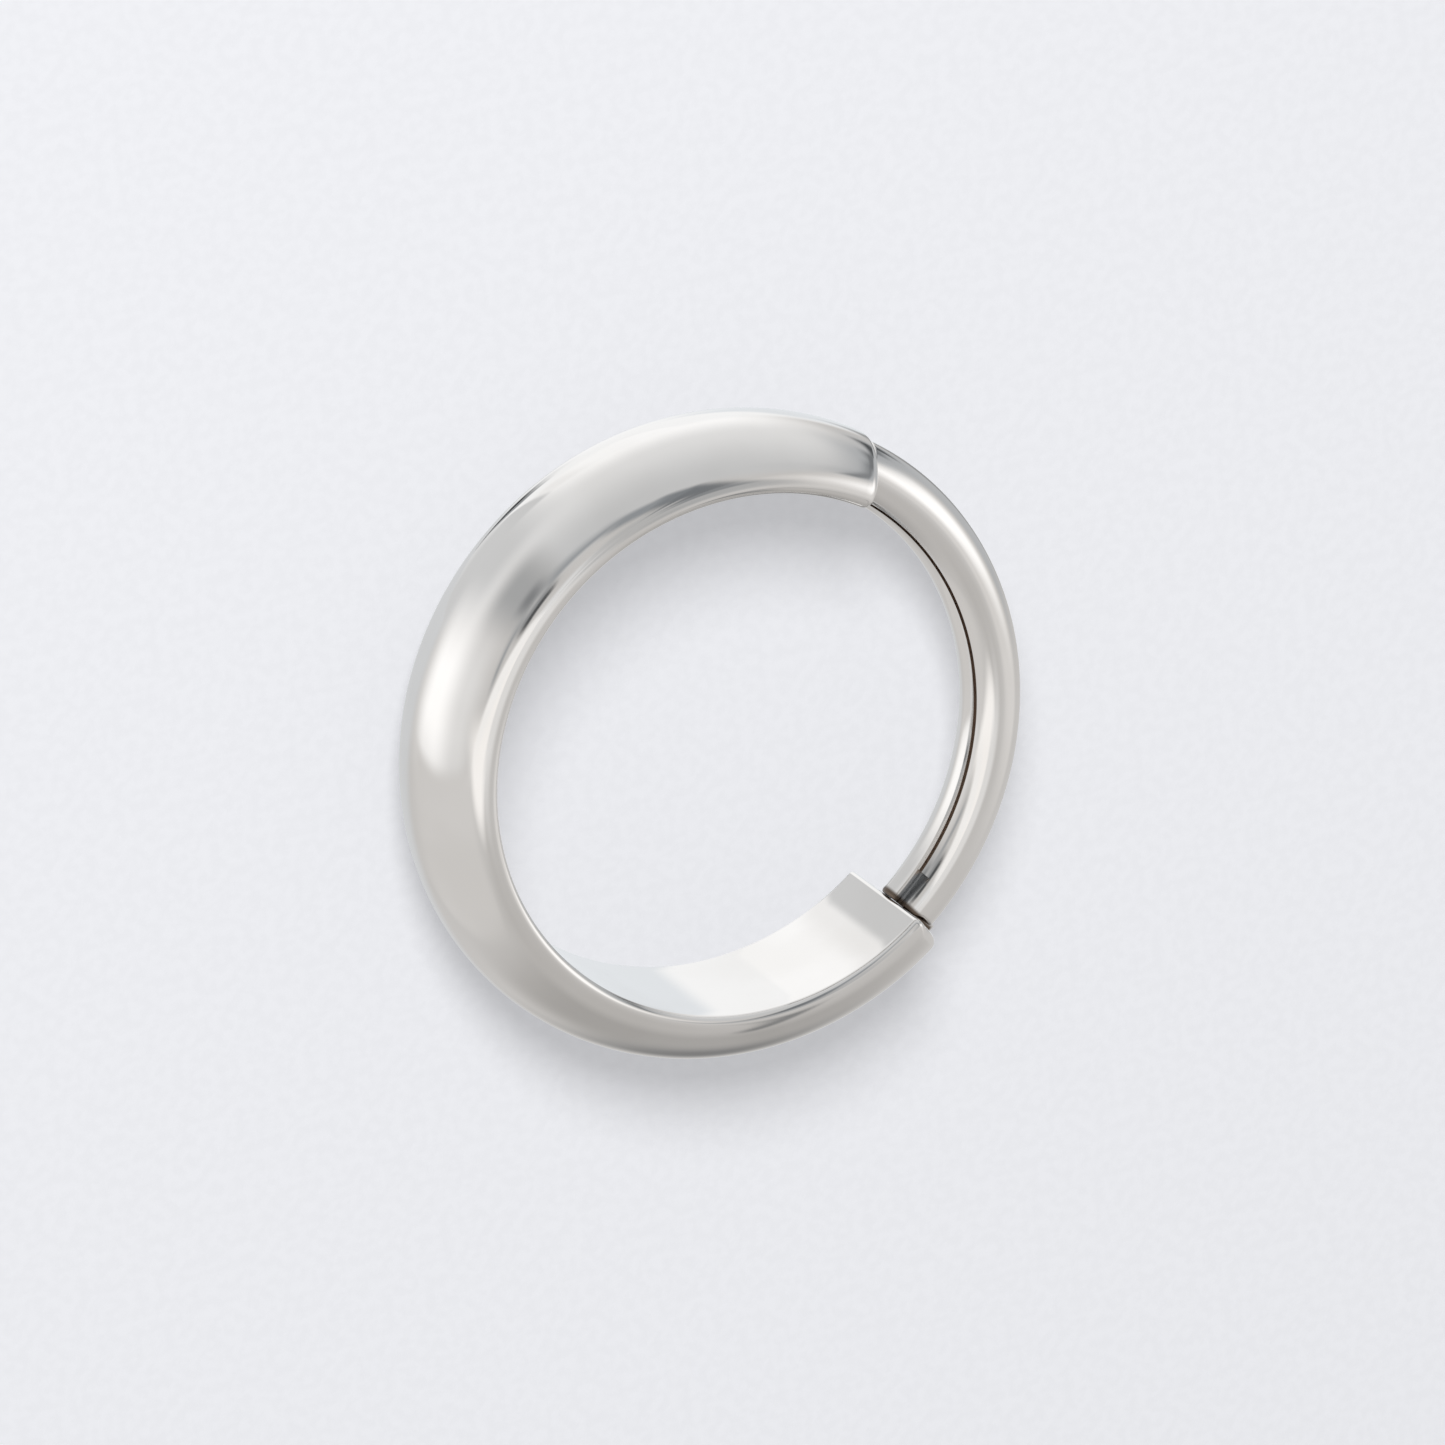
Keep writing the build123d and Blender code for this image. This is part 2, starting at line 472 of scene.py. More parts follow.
@dataclass(frozen=True)
class PaintedShadeAndDirt:
    """Darker colours painted in the wire's seam and notch and in the hinge's gap: painted shade,
    with dirt in the seam and the gap.

    Attributes:
        seam, notch, gap_shade_and_dirt: The darker colours painted in the seam, the notch and on
            the gap's faces.
        recess_haze, joint_haze: How much rougher the recesses and the gap's faces are.
        notch_end: Where the notch's colour fades into the seam's, along Y.
        recess_depth: Where the recesses begin, as shares of the wire's radius.
        recess_turn: How far their middle lies from the wire's innermost line.
        recess_spread: Where they end to either side of that.
        joint_rim: Where the gap's painted shade and dirt end past the wire's outline.
        joint_start, joint_end: Where it starts past the band's end face and ends past the wire's.
    """

    # Darker colours: the seam's and the gap's are dirt with painted shade, the notch's is painted
    # shade
    seam: Colour = (0.50, 0.42, 0.36, 1.0)
    notch: Colour = (0.40, 0.41, 0.42, 1.0)
    gap_shade_and_dirt: Colour = (0.16, 0.125, 0.10, 1.0)
    recess_haze: float = 0.35
    joint_haze: float = 0.25
    notch_end: Pair = (-3.30 * MM, -3.22 * MM)
    recess_depth: Pair = (0.94, 0.985)
    recess_turn: float = math.radians(42.0)
    recess_spread: Pair = (math.radians(18.0), math.radians(24.0))
    joint_rim: Pair = (0.02 * MM, 0.06 * MM)
    joint_start: Pair = (-0.012 * MM, -0.004 * MM)
    joint_end: Pair = (-0.02 * MM, 0.05 * MM)

    def joint_share(self, board: NodeBoard, spot: Socket) -> Socket:
        """Works out which faces lie in the hinge's gap, for its painted shade and dirt, from the
        place on the metal.

        Args:
            board: The material's nodes.
            spot: The place, in the frame's coordinates.

        Returns:
            A share that is 1 in the gap and fades out along the wire.
        """
        outward = direction(-HOOP.joint_half_angle, 0.0)
        onward = direction(QUARTER - HOOP.joint_half_angle, 0.0)
        aside = board.calc("SUBTRACT", board.along(spot, outward), HOOP.wire_path_radius)
        above = board.calc("SUBTRACT", board.along(spot, (0.0, 0.0, 1.0)), HOOP.wire_level)
        ahead = board.along(spot, onward)
        rim = tuple(HOOP.wire_radius + past for past in self.joint_rim)
        near = board.eased(board.hypotenuse(aside, above), rim, (1.0, 0.0))
        inside = board.eased(ahead, self.joint_start, (0.0, 1.0))
        end = tuple(HOOP.hinge_gap + past for past in self.joint_end)
        before = board.eased(ahead, end, (1.0, 0.0))
        return board.calc("MULTIPLY", near, board.calc("MULTIPLY", inside, before))

    def recess_share(self, board: NodeBoard, spot: Socket) -> tuple[Socket, Socket]:
        """Works out where the wire's seam and notch lie, for their painted shade and dirt, from
        the place on the wire.

        Args:
            board: The material's nodes.
            spot: The place, in the frame's coordinates.

        Returns:
            A share that is 1 in the seam and the notch and 0 elsewhere, and the darker colour
            painted there.
        """
        split = board.add("ShaderNodeSeparateXYZ", {"Vector": spot})
        outward = board.hypotenuse(split.outputs["X"], split.outputs["Y"])
        inward = board.calc("SUBTRACT", HOOP.wire_path_radius, outward)
        height = board.calc("SUBTRACT", split.outputs["Z"], HOOP.wire_level)
        wall = tuple(HOOP.wire_radius * share for share in self.recess_depth)
        sunk = board.eased(board.hypotenuse(inward, height), wall, (1.0, 0.0))
        turn = board.calc("ARCTAN2", height, inward)
        aside = board.calc("ABSOLUTE", board.calc("SUBTRACT", turn, self.recess_turn))
        beside = board.eased(aside, self.recess_spread, (1.0, 0.0))
        beyond = board.eased(split.outputs["Y"], self.notch_end, (0.0, 1.0))
        return board.calc("MULTIPLY", sunk, beside), board.mix(beyond, self.notch, self.seam)


@dataclass(frozen=True)
class PolishedMetal:
    """Mirror-polished white metal with a soft haze, fine scratches, and painted shade and dirt in
    its recesses and hinge gap.

    Attributes:
        name: The material's name.
        bright, dull: Its colour where it is cleanest, and where it has a faint film.
        smooth, hazy: The roughness of the cleanest and of the haziest places.
        scratch: How strongly fine scratches tilt the surface.
        recess_shade_and_dirt: Whether the wire's notch is darkened with painted shade and its seam
            with painted shade and dirt.
        gap_shade_and_dirt: Whether the faces in the hinge's gap are darkened with painted shade
            and dirt.
        film_patches: How many patches of film lie in a metre, and their noise range.
        haze_patches, haze_detail: The same for the haze, and how many finer layers it has.
        lengthwise: How many scratches go along the metal in a metre, and their stretch.
        crosswise: The same for those across it.
        scratch_depth: How deep the scratches are.
    """

    name: str
    bright: Colour = (0.925, 0.920, 0.915, 1.0)
    dull: Colour = (0.885, 0.878, 0.868, 1.0)
    smooth: float = 0.045
    hazy: float = 0.095
    scratch: float = 0.05
    recess_shade_and_dirt: bool = False
    gap_shade_and_dirt: bool = False
    film_patches: tuple[float, Pair] = (420.0, (0.38, 0.66))
    haze_patches: tuple[float, Pair] = (900.0, (0.35, 0.70))
    haze_detail: float = 5.0
    lengthwise: tuple[float, Point] = (2600.0, (1.0, 1.0, 16.0))
    crosswise: tuple[float, Point] = (2200.0, (14.0, 3.0, 1.0))
    scratch_depth: float = 0.002 * MM

    def make(self) -> bpy.types.Material:
        """Returns the node material."""
        material = bpy.data.materials.new(self.name)
        material.use_nodes = True
        board = NodeBoard(material.node_tree)
        spot = board.add("ShaderNodeTexCoord").outputs["Object"]
        film = board.eased(board.noise(spot, self.film_patches[0]), self.film_patches[1],
                           (0.0, 1.0))
        colour = board.mix(film, self.bright, self.dull)
        haze = board.eased(board.noise(spot, self.haze_patches[0], self.haze_detail),
                           self.haze_patches[1], (self.smooth, self.hazy))
        # Painted shade, with some dirt, darkens the seam, the notch and the hinge's gap
        shade_and_dirt = PaintedShadeAndDirt()
        if self.recess_shade_and_dirt:
            sunk, shade_and_dirt_colour = shade_and_dirt.recess_share(board, spot)
            colour = board.mix(sunk, colour, shade_and_dirt_colour)
            haze = board.calc("MULTIPLY_ADD", sunk, shade_and_dirt.recess_haze, haze)
        # The hinge's gap gets a dark brown of painted shade and dirt
        if self.gap_shade_and_dirt:
            gap_shade_and_dirt_share = shade_and_dirt.joint_share(board, spot)
            colour = board.mix(gap_shade_and_dirt_share, colour, shade_and_dirt.gap_shade_and_dirt)
            haze = board.calc("MULTIPLY_ADD", gap_shade_and_dirt_share, shade_and_dirt.joint_haze, haze)
        marks = board.calc("MULTIPLY", *(board.noise(board.stretched(spot, stretch), scale)
                                         for scale, stretch in (self.lengthwise, self.crosswise)))
        board.fill(board.tree.nodes["Principled BSDF"], {
            "Base Color": colour, "Roughness": haze, "Metallic": 1.0,
            "Normal": board.bump(marks, self.scratch, self.scratch_depth)})
        return material


def finish_piece(made: Solid, metal: PolishedMetal, body: str, node: str) -> None:
    """Dresses a piece in its metal, hangs it on its body and hides the CAD part that it stands
    for.

    Args:
        made: The finished mesh object.
        metal: Its finish.
        body: The body that it rides on.
        node: The CAD node that it stands for.
    """
    made.data.set_sharp_from_angle(angle=SHARP_TURN)
    made.data.materials.clear()
    made.data.materials.append(metal.make())
    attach(made, body)
    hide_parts(node)
    LOG.info("%s: %d faces on body %s", made.name, len(made.data.polygons), body)


@dataclass
class DomedBand:
    """The domed band: a lofted D section round the hoop, cut at both ends.

    Attributes:
        rounding: The radius of the rounded end edges at the rims.
        catch_shares: How that rounding spreads over the section at the catch end.
        hinge_shares: How it spreads at the hinge end.
        body_steps, end_steps: How many steps go round the band and over each end's rounding.
        flat_steps, dome_steps: How many the flat inner face and the dome have across.
        edge_steps, rim_steps: How many each inner edge and each rim have.
    """

    rounding: float = 0.20 * MM
    catch_shares: EndShares = EndShares(crown=0.45, rim=1.00, edge=0.80)
    hinge_shares: EndShares = EndShares(crown=0.90, rim=0.90, edge=0.40)
    body_steps: int = 340
    flat_steps: int = 12
    edge_steps: int = 12
    rim_steps: int = 20
    dome_steps: int = 56
    end_steps: int = 9
    # The band's faces in the hinge's gap get painted shade and dirt
    finish: PolishedMetal = PolishedMetal("polished_band", gap_shade_and_dirt=True)

    def section(self, width: float, thickness: float, edge: float,
                ends: EndShares) -> list[ProfilePoint]:
        """Works the section out: flat inner face, small inner edges, soft rims and a dome.

        Args:
            width: The whole width along the axis.
            thickness: The height of the crown over the inner face.
            edge: The radius of the edges between the inner face and the rims.
            ends: How the end rounding spreads over the section.

        Returns:
            The points of the section, anticlockwise seen from the band's start.
        """
        rim = HOOP.rim_radius
        rise, reach = thickness - edge, width / 2.0 - rim
        dome_radius = (rise**2 + reach**2 - rim**2) / (2.0 * (rise - rim))
        dome_centre = HOOP.inner_radius + thickness - dome_radius
        rim_start = HOOP.inner_radius + edge
        meet = math.atan2(reach, rim_start - dome_centre)
        upper: list[ProfilePoint] = []

        def arc(centre: Pair, radius: float, span: Pair, shares: Pair, steps: int) -> None:
            """Adds an arc's points, leaving out its last one."""
            for step in range(steps):
                angle = span[0] + (span[1] - span[0]) * step / steps
                share = shares[0] + (shares[1] - shares[0]) * smooth_step(step / steps)
                normal = (math.cos(angle), math.sin(angle))
                spot = (centre[0] + radius * normal[0], centre[1] + radius * normal[1])
                upper.append(ProfilePoint(spot, normal, share))

        arc((dome_centre, 0.0), dome_radius, (0.0, meet), (ends.crown, ends.rim),
            self.dome_steps // 2)
        arc((rim_start, reach), rim, (meet, QUARTER), (ends.rim, ends.edge), self.rim_steps)
        arc((rim_start, width / 2.0 - edge), edge, (QUARTER, math.pi),
            (ends.edge, ends.edge), self.edge_steps)
        for step in range(self.flat_steps // 2):
            height = (width / 2.0 - edge) * (1.0 - 2.0 * step / self.flat_steps)
            upper.append(ProfilePoint((HOOP.inner_radius, height), (-1.0, 0.0), ends.edge))
        middle = ProfilePoint((HOOP.inner_radius, 0.0), (-1.0, 0.0), ends.edge)
        whole = upper + [middle] + [point.mirrored() for point in reversed(upper[1:])]
        return [point.raised(HOOP.half_width) for point in whole]

    def profile_at(self, angle: float) -> list[ProfilePoint]:
        """Returns the section at an angle about the hoop's axis."""
        sweep = (angle - math.pi) / (math.pi - HOOP.joint_half_angle)
        position = (sweep + 1.0) / 2.0 * (len(STATIONS) - 1)
        width, thickness, edge = (through_values(shares, position) for shares in zip(*STATIONS))
        ends = self.catch_shares.towards(self.hinge_shares, (sweep + 1.0) / 2.0)
        return self.section(2.0 * HOOP.half_width * width, HOOP.thickness * thickness,
                            HOOP.inner_edge * edge, ends)

    def mortise(self) -> Solid:
        """Returns the cutter for the slot that the wire's tongue swings in."""
        back = -(HOOP.pin_setback + HOOP.knuckle_radius + HOOP.mortise_clearance)
        floor = HOOP.pin_outset - HOOP.knuckle_radius - HOOP.mortise_clearance
        half_slot = HOOP.tongue_thickness / 2.0 + HOOP.mortise_clearance
        reach = 2.0 * HOOP.half_width
        return prism_object("mortise", box_outline((floor, back), (reach, reach)),
                            -half_slot, half_slot)

    def pin_bore(self) -> Solid:
        """Returns the cutter for the pin's bore, which opens on the lower flank."""
        outline = arc_points((HOOP.pin_outset, -HOOP.pin_setback),
                             HOOP.pin_radius + HOOP.bore_clearance, 0.0, WHOLE, HOLE_STEPS)
        return prism_object("pin_bore", outline[:-1], -2.0 * HOOP.half_width,
                            HOOP.pin_reach_above + HOOP.bore_clearance)

    def pocket(self) -> Solid:
        """Returns the cutter for the pocket that the nib rests in."""
        radius = HOOP.nib_radius + HOOP.nib_clearance
        outline = arc_points((HOOP.pocket_shift(), 0.0), radius, -QUARTER, QUARTER,
                             HOLE_STEPS // 2)
        outline += arc_points((0.0, 0.0), radius, QUARTER, 3.0 * QUARTER, HOLE_STEPS // 2)
        cutter = prism_object("pocket", outline, -HOOP.half_width,
                              HOOP.nib_stand_out + HOOP.nib_clearance)
        return place(cutter, Matrix.Rotation(-QUARTER, 4, "X"))

    def build(self) -> Solid:
        """Builds the band with its mortise, pin bore and catch pocket."""
        rows = swept_rows(self.profile_at, HOOP.joint_half_angle, WHOLE - HOOP.joint_half_angle,
                          self.rounding, self.body_steps, self.end_steps)
        band = skin_rows("band", rows)
        combine(band, place(self.mortise(), HOOP.joint_frame(-1)), Cut.REMOVE)
        combine(band, place(self.pin_bore(), HOOP.joint_frame(-1)), Cut.REMOVE)
        combine(band, place(self.pocket(), HOOP.joint_frame(1)), Cut.REMOVE)
        return band

    def dress(self, made: Solid) -> None:
        """Gives the band its finish."""
        finish_piece(made, self.finish, "band", "domed_band")


@dataclass
class EarWire:
    """The round ear wire with its seam, notch, tongue and nib.

    Attributes:
        rounding: The radius of the wire's end edges.
        seam_angle: How far the seam lies from the innermost line, towards the upper side.
        seam_width, seam_depth: How wide and how deep the seam's groove is.
        notch_width, notch_length: The notch's size across and along the wire.
        notch_depth: Its depth from the innermost line.
        notch_height: How far its middle lies over the wire's centre line.
        nib_length, nib_rounding: The nib's whole length and the radius of its tip edge.
        lean: How much nearer to the band the hinge end's inner side lies.
        lean_reach: How far along the wire that fades out.
        lean_start: Where it begins outside the centre line, in radii of the wire.
        lean_full: Where it is full inside the centre line.
        body_steps, round_steps, end_steps: How many steps go along, round and over each end.
    """

    rounding: float = 0.05 * MM
    seam_angle: float = math.radians(36.0)
    seam_width: float = 0.06 * MM
    seam_depth: float = 0.12 * MM
    notch_width: float = 0.20 * MM
    notch_length: float = 0.55 * MM
    notch_depth: float = 0.20 * MM
    notch_height: float = 0.33 * MM
    nib_length: float = 0.20 * MM
    nib_rounding: float = 0.11 * MM
    lean: float = 0.08 * MM
    lean_reach: float = 0.60 * MM
    lean_start: float = 0.20
    lean_full: float = 0.30
    body_steps: int = 220
    round_steps: int = 96
    end_steps: int = 5
    # The wire's seam, notch and hinge end get painted shade and dirt
    finish: PolishedMetal = PolishedMetal("polished_wire", recess_shade_and_dirt=True, gap_shade_and_dirt=True)

    def profile(self) -> list[ProfilePoint]:
        """Returns the wire's round section with the seam as a narrow groove."""
        radius = HOOP.wire_radius
        seam = math.pi - self.seam_angle
        gap = self.seam_width / radius
        points: list[ProfilePoint] = []
        start, end = seam + gap / 2.0, seam - gap / 2.0 + WHOLE
        for step in range(self.round_steps + 1):
            angle = start + (end - start) * step / self.round_steps
            normal = (math.cos(angle), math.sin(angle))
            spot = (HOOP.wire_path_radius + radius * normal[0],
                    HOOP.wire_level + radius * normal[1])
            points.append(ProfilePoint(spot, normal, 1.0))
        normal = (math.cos(seam), math.sin(seam))
        inward = radius - self.seam_depth
        for side in (-1.0, 1.0):
            shift = side * self.seam_width / 2.0
            spot = (HOOP.wire_path_radius + inward * normal[0] - shift * normal[1],
                    HOOP.wire_level + inward * normal[1] + shift * normal[0])
            points.append(ProfilePoint(spot, (0.0, 0.0), 1.0))
        return points

    def notch(self) -> Solid:
        """Returns the cutter for the notch beside the seam at the hinge end."""
        far = HOOP.wire_radius
        outline = box_outline((-far - self.notch_length, HOOP.hinge_gap - far),
                              (self.notch_depth - far, HOOP.hinge_gap + self.notch_length))
        return prism_object("notch", outline, self.notch_height - self.notch_width / 2.0,
                            self.notch_height + self.notch_width / 2.0)

    def tongue(self) -> Solid:
        """Returns the tongue with its knuckle, bored for the pin."""
        centre, radius = (HOOP.pin_outset, -HOOP.pin_setback), HOOP.knuckle_radius
        root = HOOP.hinge_gap + self.rounding
        outline = arc_points(centre, radius, math.pi, WHOLE, KNUCKLE_STEPS)
        outline += [(centre[0] + radius, root), (centre[0] - radius, root)]
        half_thickness = HOOP.tongue_thickness / 2.0
        made = prism_object("tongue", outline, -half_thickness, half_thickness)
        bore = arc_points(centre, HOOP.pin_radius + HOOP.running_clearance, 0.0, WHOLE, HOLE_STEPS)
        combine(made, prism_object("tongue_bore", bore[:-1], -HOOP.half_width, HOOP.half_width),
                Cut.REMOVE)
        return made

    def nib(self) -> Solid:
        """Returns the nib that sits in the band's pocket, turned to point along the wire."""
        root = HOOP.nib_stand_out - self.nib_length - self.rounding
        outline = [(HOOP.nib_radius, root)]
        outline += arc_points((HOOP.nib_radius - self.nib_rounding,
                               HOOP.nib_stand_out - self.nib_rounding),
                              self.nib_rounding, 0.0, QUARTER, NIB_EDGE_STEPS)
        made = turned_object("nib", outline, NIB_STEPS)
        return place(made, Matrix.Rotation(-QUARTER, 4, "X"))

    def leaned(self, row: Row, start: float) -> Row:
        """Slides a row's inner side towards the band, near the hinge end.

        Args:
            row: The row's points.
            start: The angle of the wire's hinge end.

        Returns:
            The row, with its outer side as it was.
        """
        made: Row = []
        for across, along, height in row:
            outward, angle = math.hypot(across, along), math.atan2(along, across)
            inset = (HOOP.wire_path_radius - outward) / HOOP.wire_radius
            inner = smooth_step((inset + self.lean_start) / (self.lean_full + self.lean_start))
            near = 1.0 - smooth_step((angle - start) * outward / self.lean_reach)
            slide = self.lean * inner * near / outward
            made.append(polar_point(outward, height, angle - slide))
        return made

    def build(self) -> Solid:
        """Builds the wire with its notch, tongue and nib."""
        profile = self.profile()
        start = HOOP.hinge_gap / HOOP.wire_path_radius - HOOP.joint_half_angle
        end = HOOP.joint_half_angle - HOOP.catch_gap / HOOP.wire_path_radius
        rows = swept_rows(lambda angle: profile, start, end, self.rounding, self.body_steps,
                          self.end_steps)
        wire = skin_rows("wire", [self.leaned(row, start) for row in rows])
        combine(wire, place(self.notch(), HOOP.joint_frame(-1)), Cut.REMOVE)
        combine(wire, place(self.tongue(), HOOP.joint_frame(-1)), Cut.JOIN)
        combine(wire, place(self.nib(), HOOP.joint_frame(1)), Cut.JOIN)
        return wire

    def dress(self, made: Solid) -> None:
        """Gives the wire its finish."""
        finish_piece(made, self.finish, "wire", "ear_wire")


@dataclass
class HingePin:
    """The plain pin of the hinge, with lightly broken ends."""

    chamfer: float = 0.03 * MM
    round_steps: int = 48
    finish: PolishedMetal = PolishedMetal(
        "pin_metal", bright=(0.82, 0.81, 0.80, 1.0), dull=(0.74, 0.73, 0.72, 1.0),
        smooth=0.16, hazy=0.26, scratch=0.15)

    def build(self) -> Solid:
        """Builds the pin at its place in the knuckle."""
        radius, low, high = HOOP.pin_radius, -HOOP.pin_reach_below, HOOP.pin_reach_above
        outline = [(radius - self.chamfer, low), (radius, low + self.chamfer),
                   (radius, high - self.chamfer), (radius - self.chamfer, high)]
        pin = turned_object("pin", outline, self.round_steps)
        spot = Matrix.Translation((HOOP.pin_outset, -HOOP.pin_setback, 0.0))
        return place(pin, HOOP.joint_frame(-1) @ spot)

    def dress(self, made: Solid) -> None:
        """Gives the pin its finish."""
        finish_piece(made, self.finish, "band", "hinge_pin")


@dataclass(frozen=True)
class SoftCard:
    """A soft reflector round the hoop: a patch of the surroundings, angles in degrees.

    Attributes:
        azimuth, elevation: Where its middle lies round the hoop's axis, and how high.
        half_width, half_height: Half its spread round the axis and in height.
        fade_across, fade_up: How far its edges fade to either side.
        tone: How bright it looks, from 0 for black to 1 for white.
        warmth: How much its red exceeds its blue on that scale.
        slope: How much it climbs for each degree round the axis.
    """

    azimuth: float
    elevation: float
    half_width: float
    half_height: float
    fade_across: float
    fade_up: float
    tone: float
    warmth: float
    slope: float = 0.0

    def share(self, board: NodeBoard, azimuth: Socket, elevation: Socket) -> Socket:
        """Works out how much of the view in a direction the reflector takes.

        Args:
            board: The world's nodes.
            azimuth: The direction's angle round the hoop's axis.
            elevation: Its height.

        Returns:
            A share that is 1 on the reflector and 0 past its faded edges.
        """
        turn = board.calc("SUBTRACT", azimuth, self.azimuth)
        aside = board.calc("WRAP", turn, 180.0, -180.0)
        above = board.calc("SUBTRACT", elevation, self.elevation)
        above = board.calc("MULTIPLY_ADD", aside, -self.slope, above)
        return board.calc("MULTIPLY", board.within(aside, self.half_width, self.fade_across),
                          board.within(above, self.half_height, self.fade_up))


def linear_tone(tone: float) -> float:
    """Turns a displayed tone from 0 to 1 into an amount of light."""
    return tone / 12.92 if tone <= 0.04045 else ((tone + 0.055) / 1.055) ** 2.4


def toned_light(tone: float, warmth: float, gain: float) -> Colour:
    """Returns the light of a tone and warmth, for a gain over them."""
    red, green, blue = (linear_tone(value) * gain
                        for value in (tone + warmth / 2.0, tone, tone - warmth / 2.0))
    return (red, green, blue, 1.0)


# The reflectors, from the first laid to the last, each over the ones before it
CARDS = tuple(SoftCard(*row) for row in (
    # azimuth, elevation, half_width, half_height, fade_across, fade_up, tone, warmth, slope
    (-90, -90, 200, 33, 8, 8, 0.8, -0.01),
    (78, 10, 48, 40, 12, 14, 0.76, -0.002),
    (91, -45, 58, 46, 14, 30, 0.865, 0.004),
    (67, -54, 35, 18, 18, 14, 0.975, 0.006),
    (35, -65, 68, 15, 3, 4, 0.95, 0),
    (-17, -60, 38, 8, 6, 4, 0.882, -0.026),
    (80, -58, 22.5, 9, 1.5, 5, 0.972, 0.004),
    (98, -58, 8, 9, 7, 5, 0.92, 0.008),
    (131, -50, 18, 32, 13, 12, 0.782, 0),
    (130, -64, 27, 13, 2.5, 3, 0.785, 0),
    (170, 5, 20, 24, 14, 14, 0.86, 0.01),
    (168, -24, 20, 22, 15, 16, 1, 0.012),
    (-150, -2, 22.5, 44, 3, 12, 0.785, 0.02),
    (-88, 26, 34, 42, 18, 20, 0.7, 0.022),
    (-86, 0, 30, 24, 14, 18, 0.635, 0.02),
    (-76, -30, 13, 13, 12, 11, 0.49, 0.004),
    (-7, 33, 30, 28, 8, 9, 0.82, 0.022),
    (-142, 80, 42, 26, 8, 7, 0.95, 0.026, 0.58),
    (162, 81, 25, 24, 8, 7, 0.94, 0.016, -0.85),
    (-60, 88, 85, 8, 12, 4, 0.88, 0.004),
    (95, 88, 45, 9, 12, 6, 0.86, 0),
    (24, 76, 56, 7, 14, 5, 0.705, 0.004),
    (-88, 79, 52, 9, 12, 6, 0.86, 0.012),
    (-17, 67, 20, 5, 8, 3.5, 0.66, 0),
    (18, 68.5, 16, 5, 6, 3, 0.53, -0.016, -0.05),
    (39, 65, 12, 5, 4, 3, 0.46, -0.02, -0.3),
    (56, 61, 10, 8, 3, 4, 0.46, -0.024, -0.6),
    (71, 55, 9, 9, 4, 5, 0.5, -0.026, -0.45),
    (87, 51, 12, 9, 6, 6, 0.57, -0.026, -0.4),
    (112, 42, 18, 6, 8, 5, 0.6, -0.02, -0.1),
    (150, 43, 14, 4, 6, 4, 0.62, -0.012, 0.15),
    (133, 20, 10, 22, 8, 12, 0.64, -0.004),
    (135, 52, 11, 6, 5, 5, 0.56, -0.01),
    (135, 60, 11, 5, 4, 3, 0.3, -0.01),
    (133, 33, 5, 5, 4, 4, 0.5, -0.01),
    (3, -22, 20, 20, 8, 8, 0.7, -0.012),
    (-10, -48, 14, 7.5, 6, 3, 0.56, 0),
    (23, 2, 10, 28, 7, 12, 0.67, -0.016),
    (25.5, 12, 2.5, 20, 2, 5, 0.5, -0.016),
    (23, -12, 3.2, 10, 2, 4, 0.46, -0.016),
    (18, -29, 3.4, 9, 2.5, 3, 0.32, -0.016),
    (-64, 38, 8, 3.5, 3, 3, 0.5, 0, 1.5),
    (30, -88, 30, 6, 6, 2, 0.12, 0),
    (75, -82, 16, 4, 5, 2, 0.55, -0.02),
    (-2, 33, 14, 19, 10, 10, 1.01, 0.014),
))


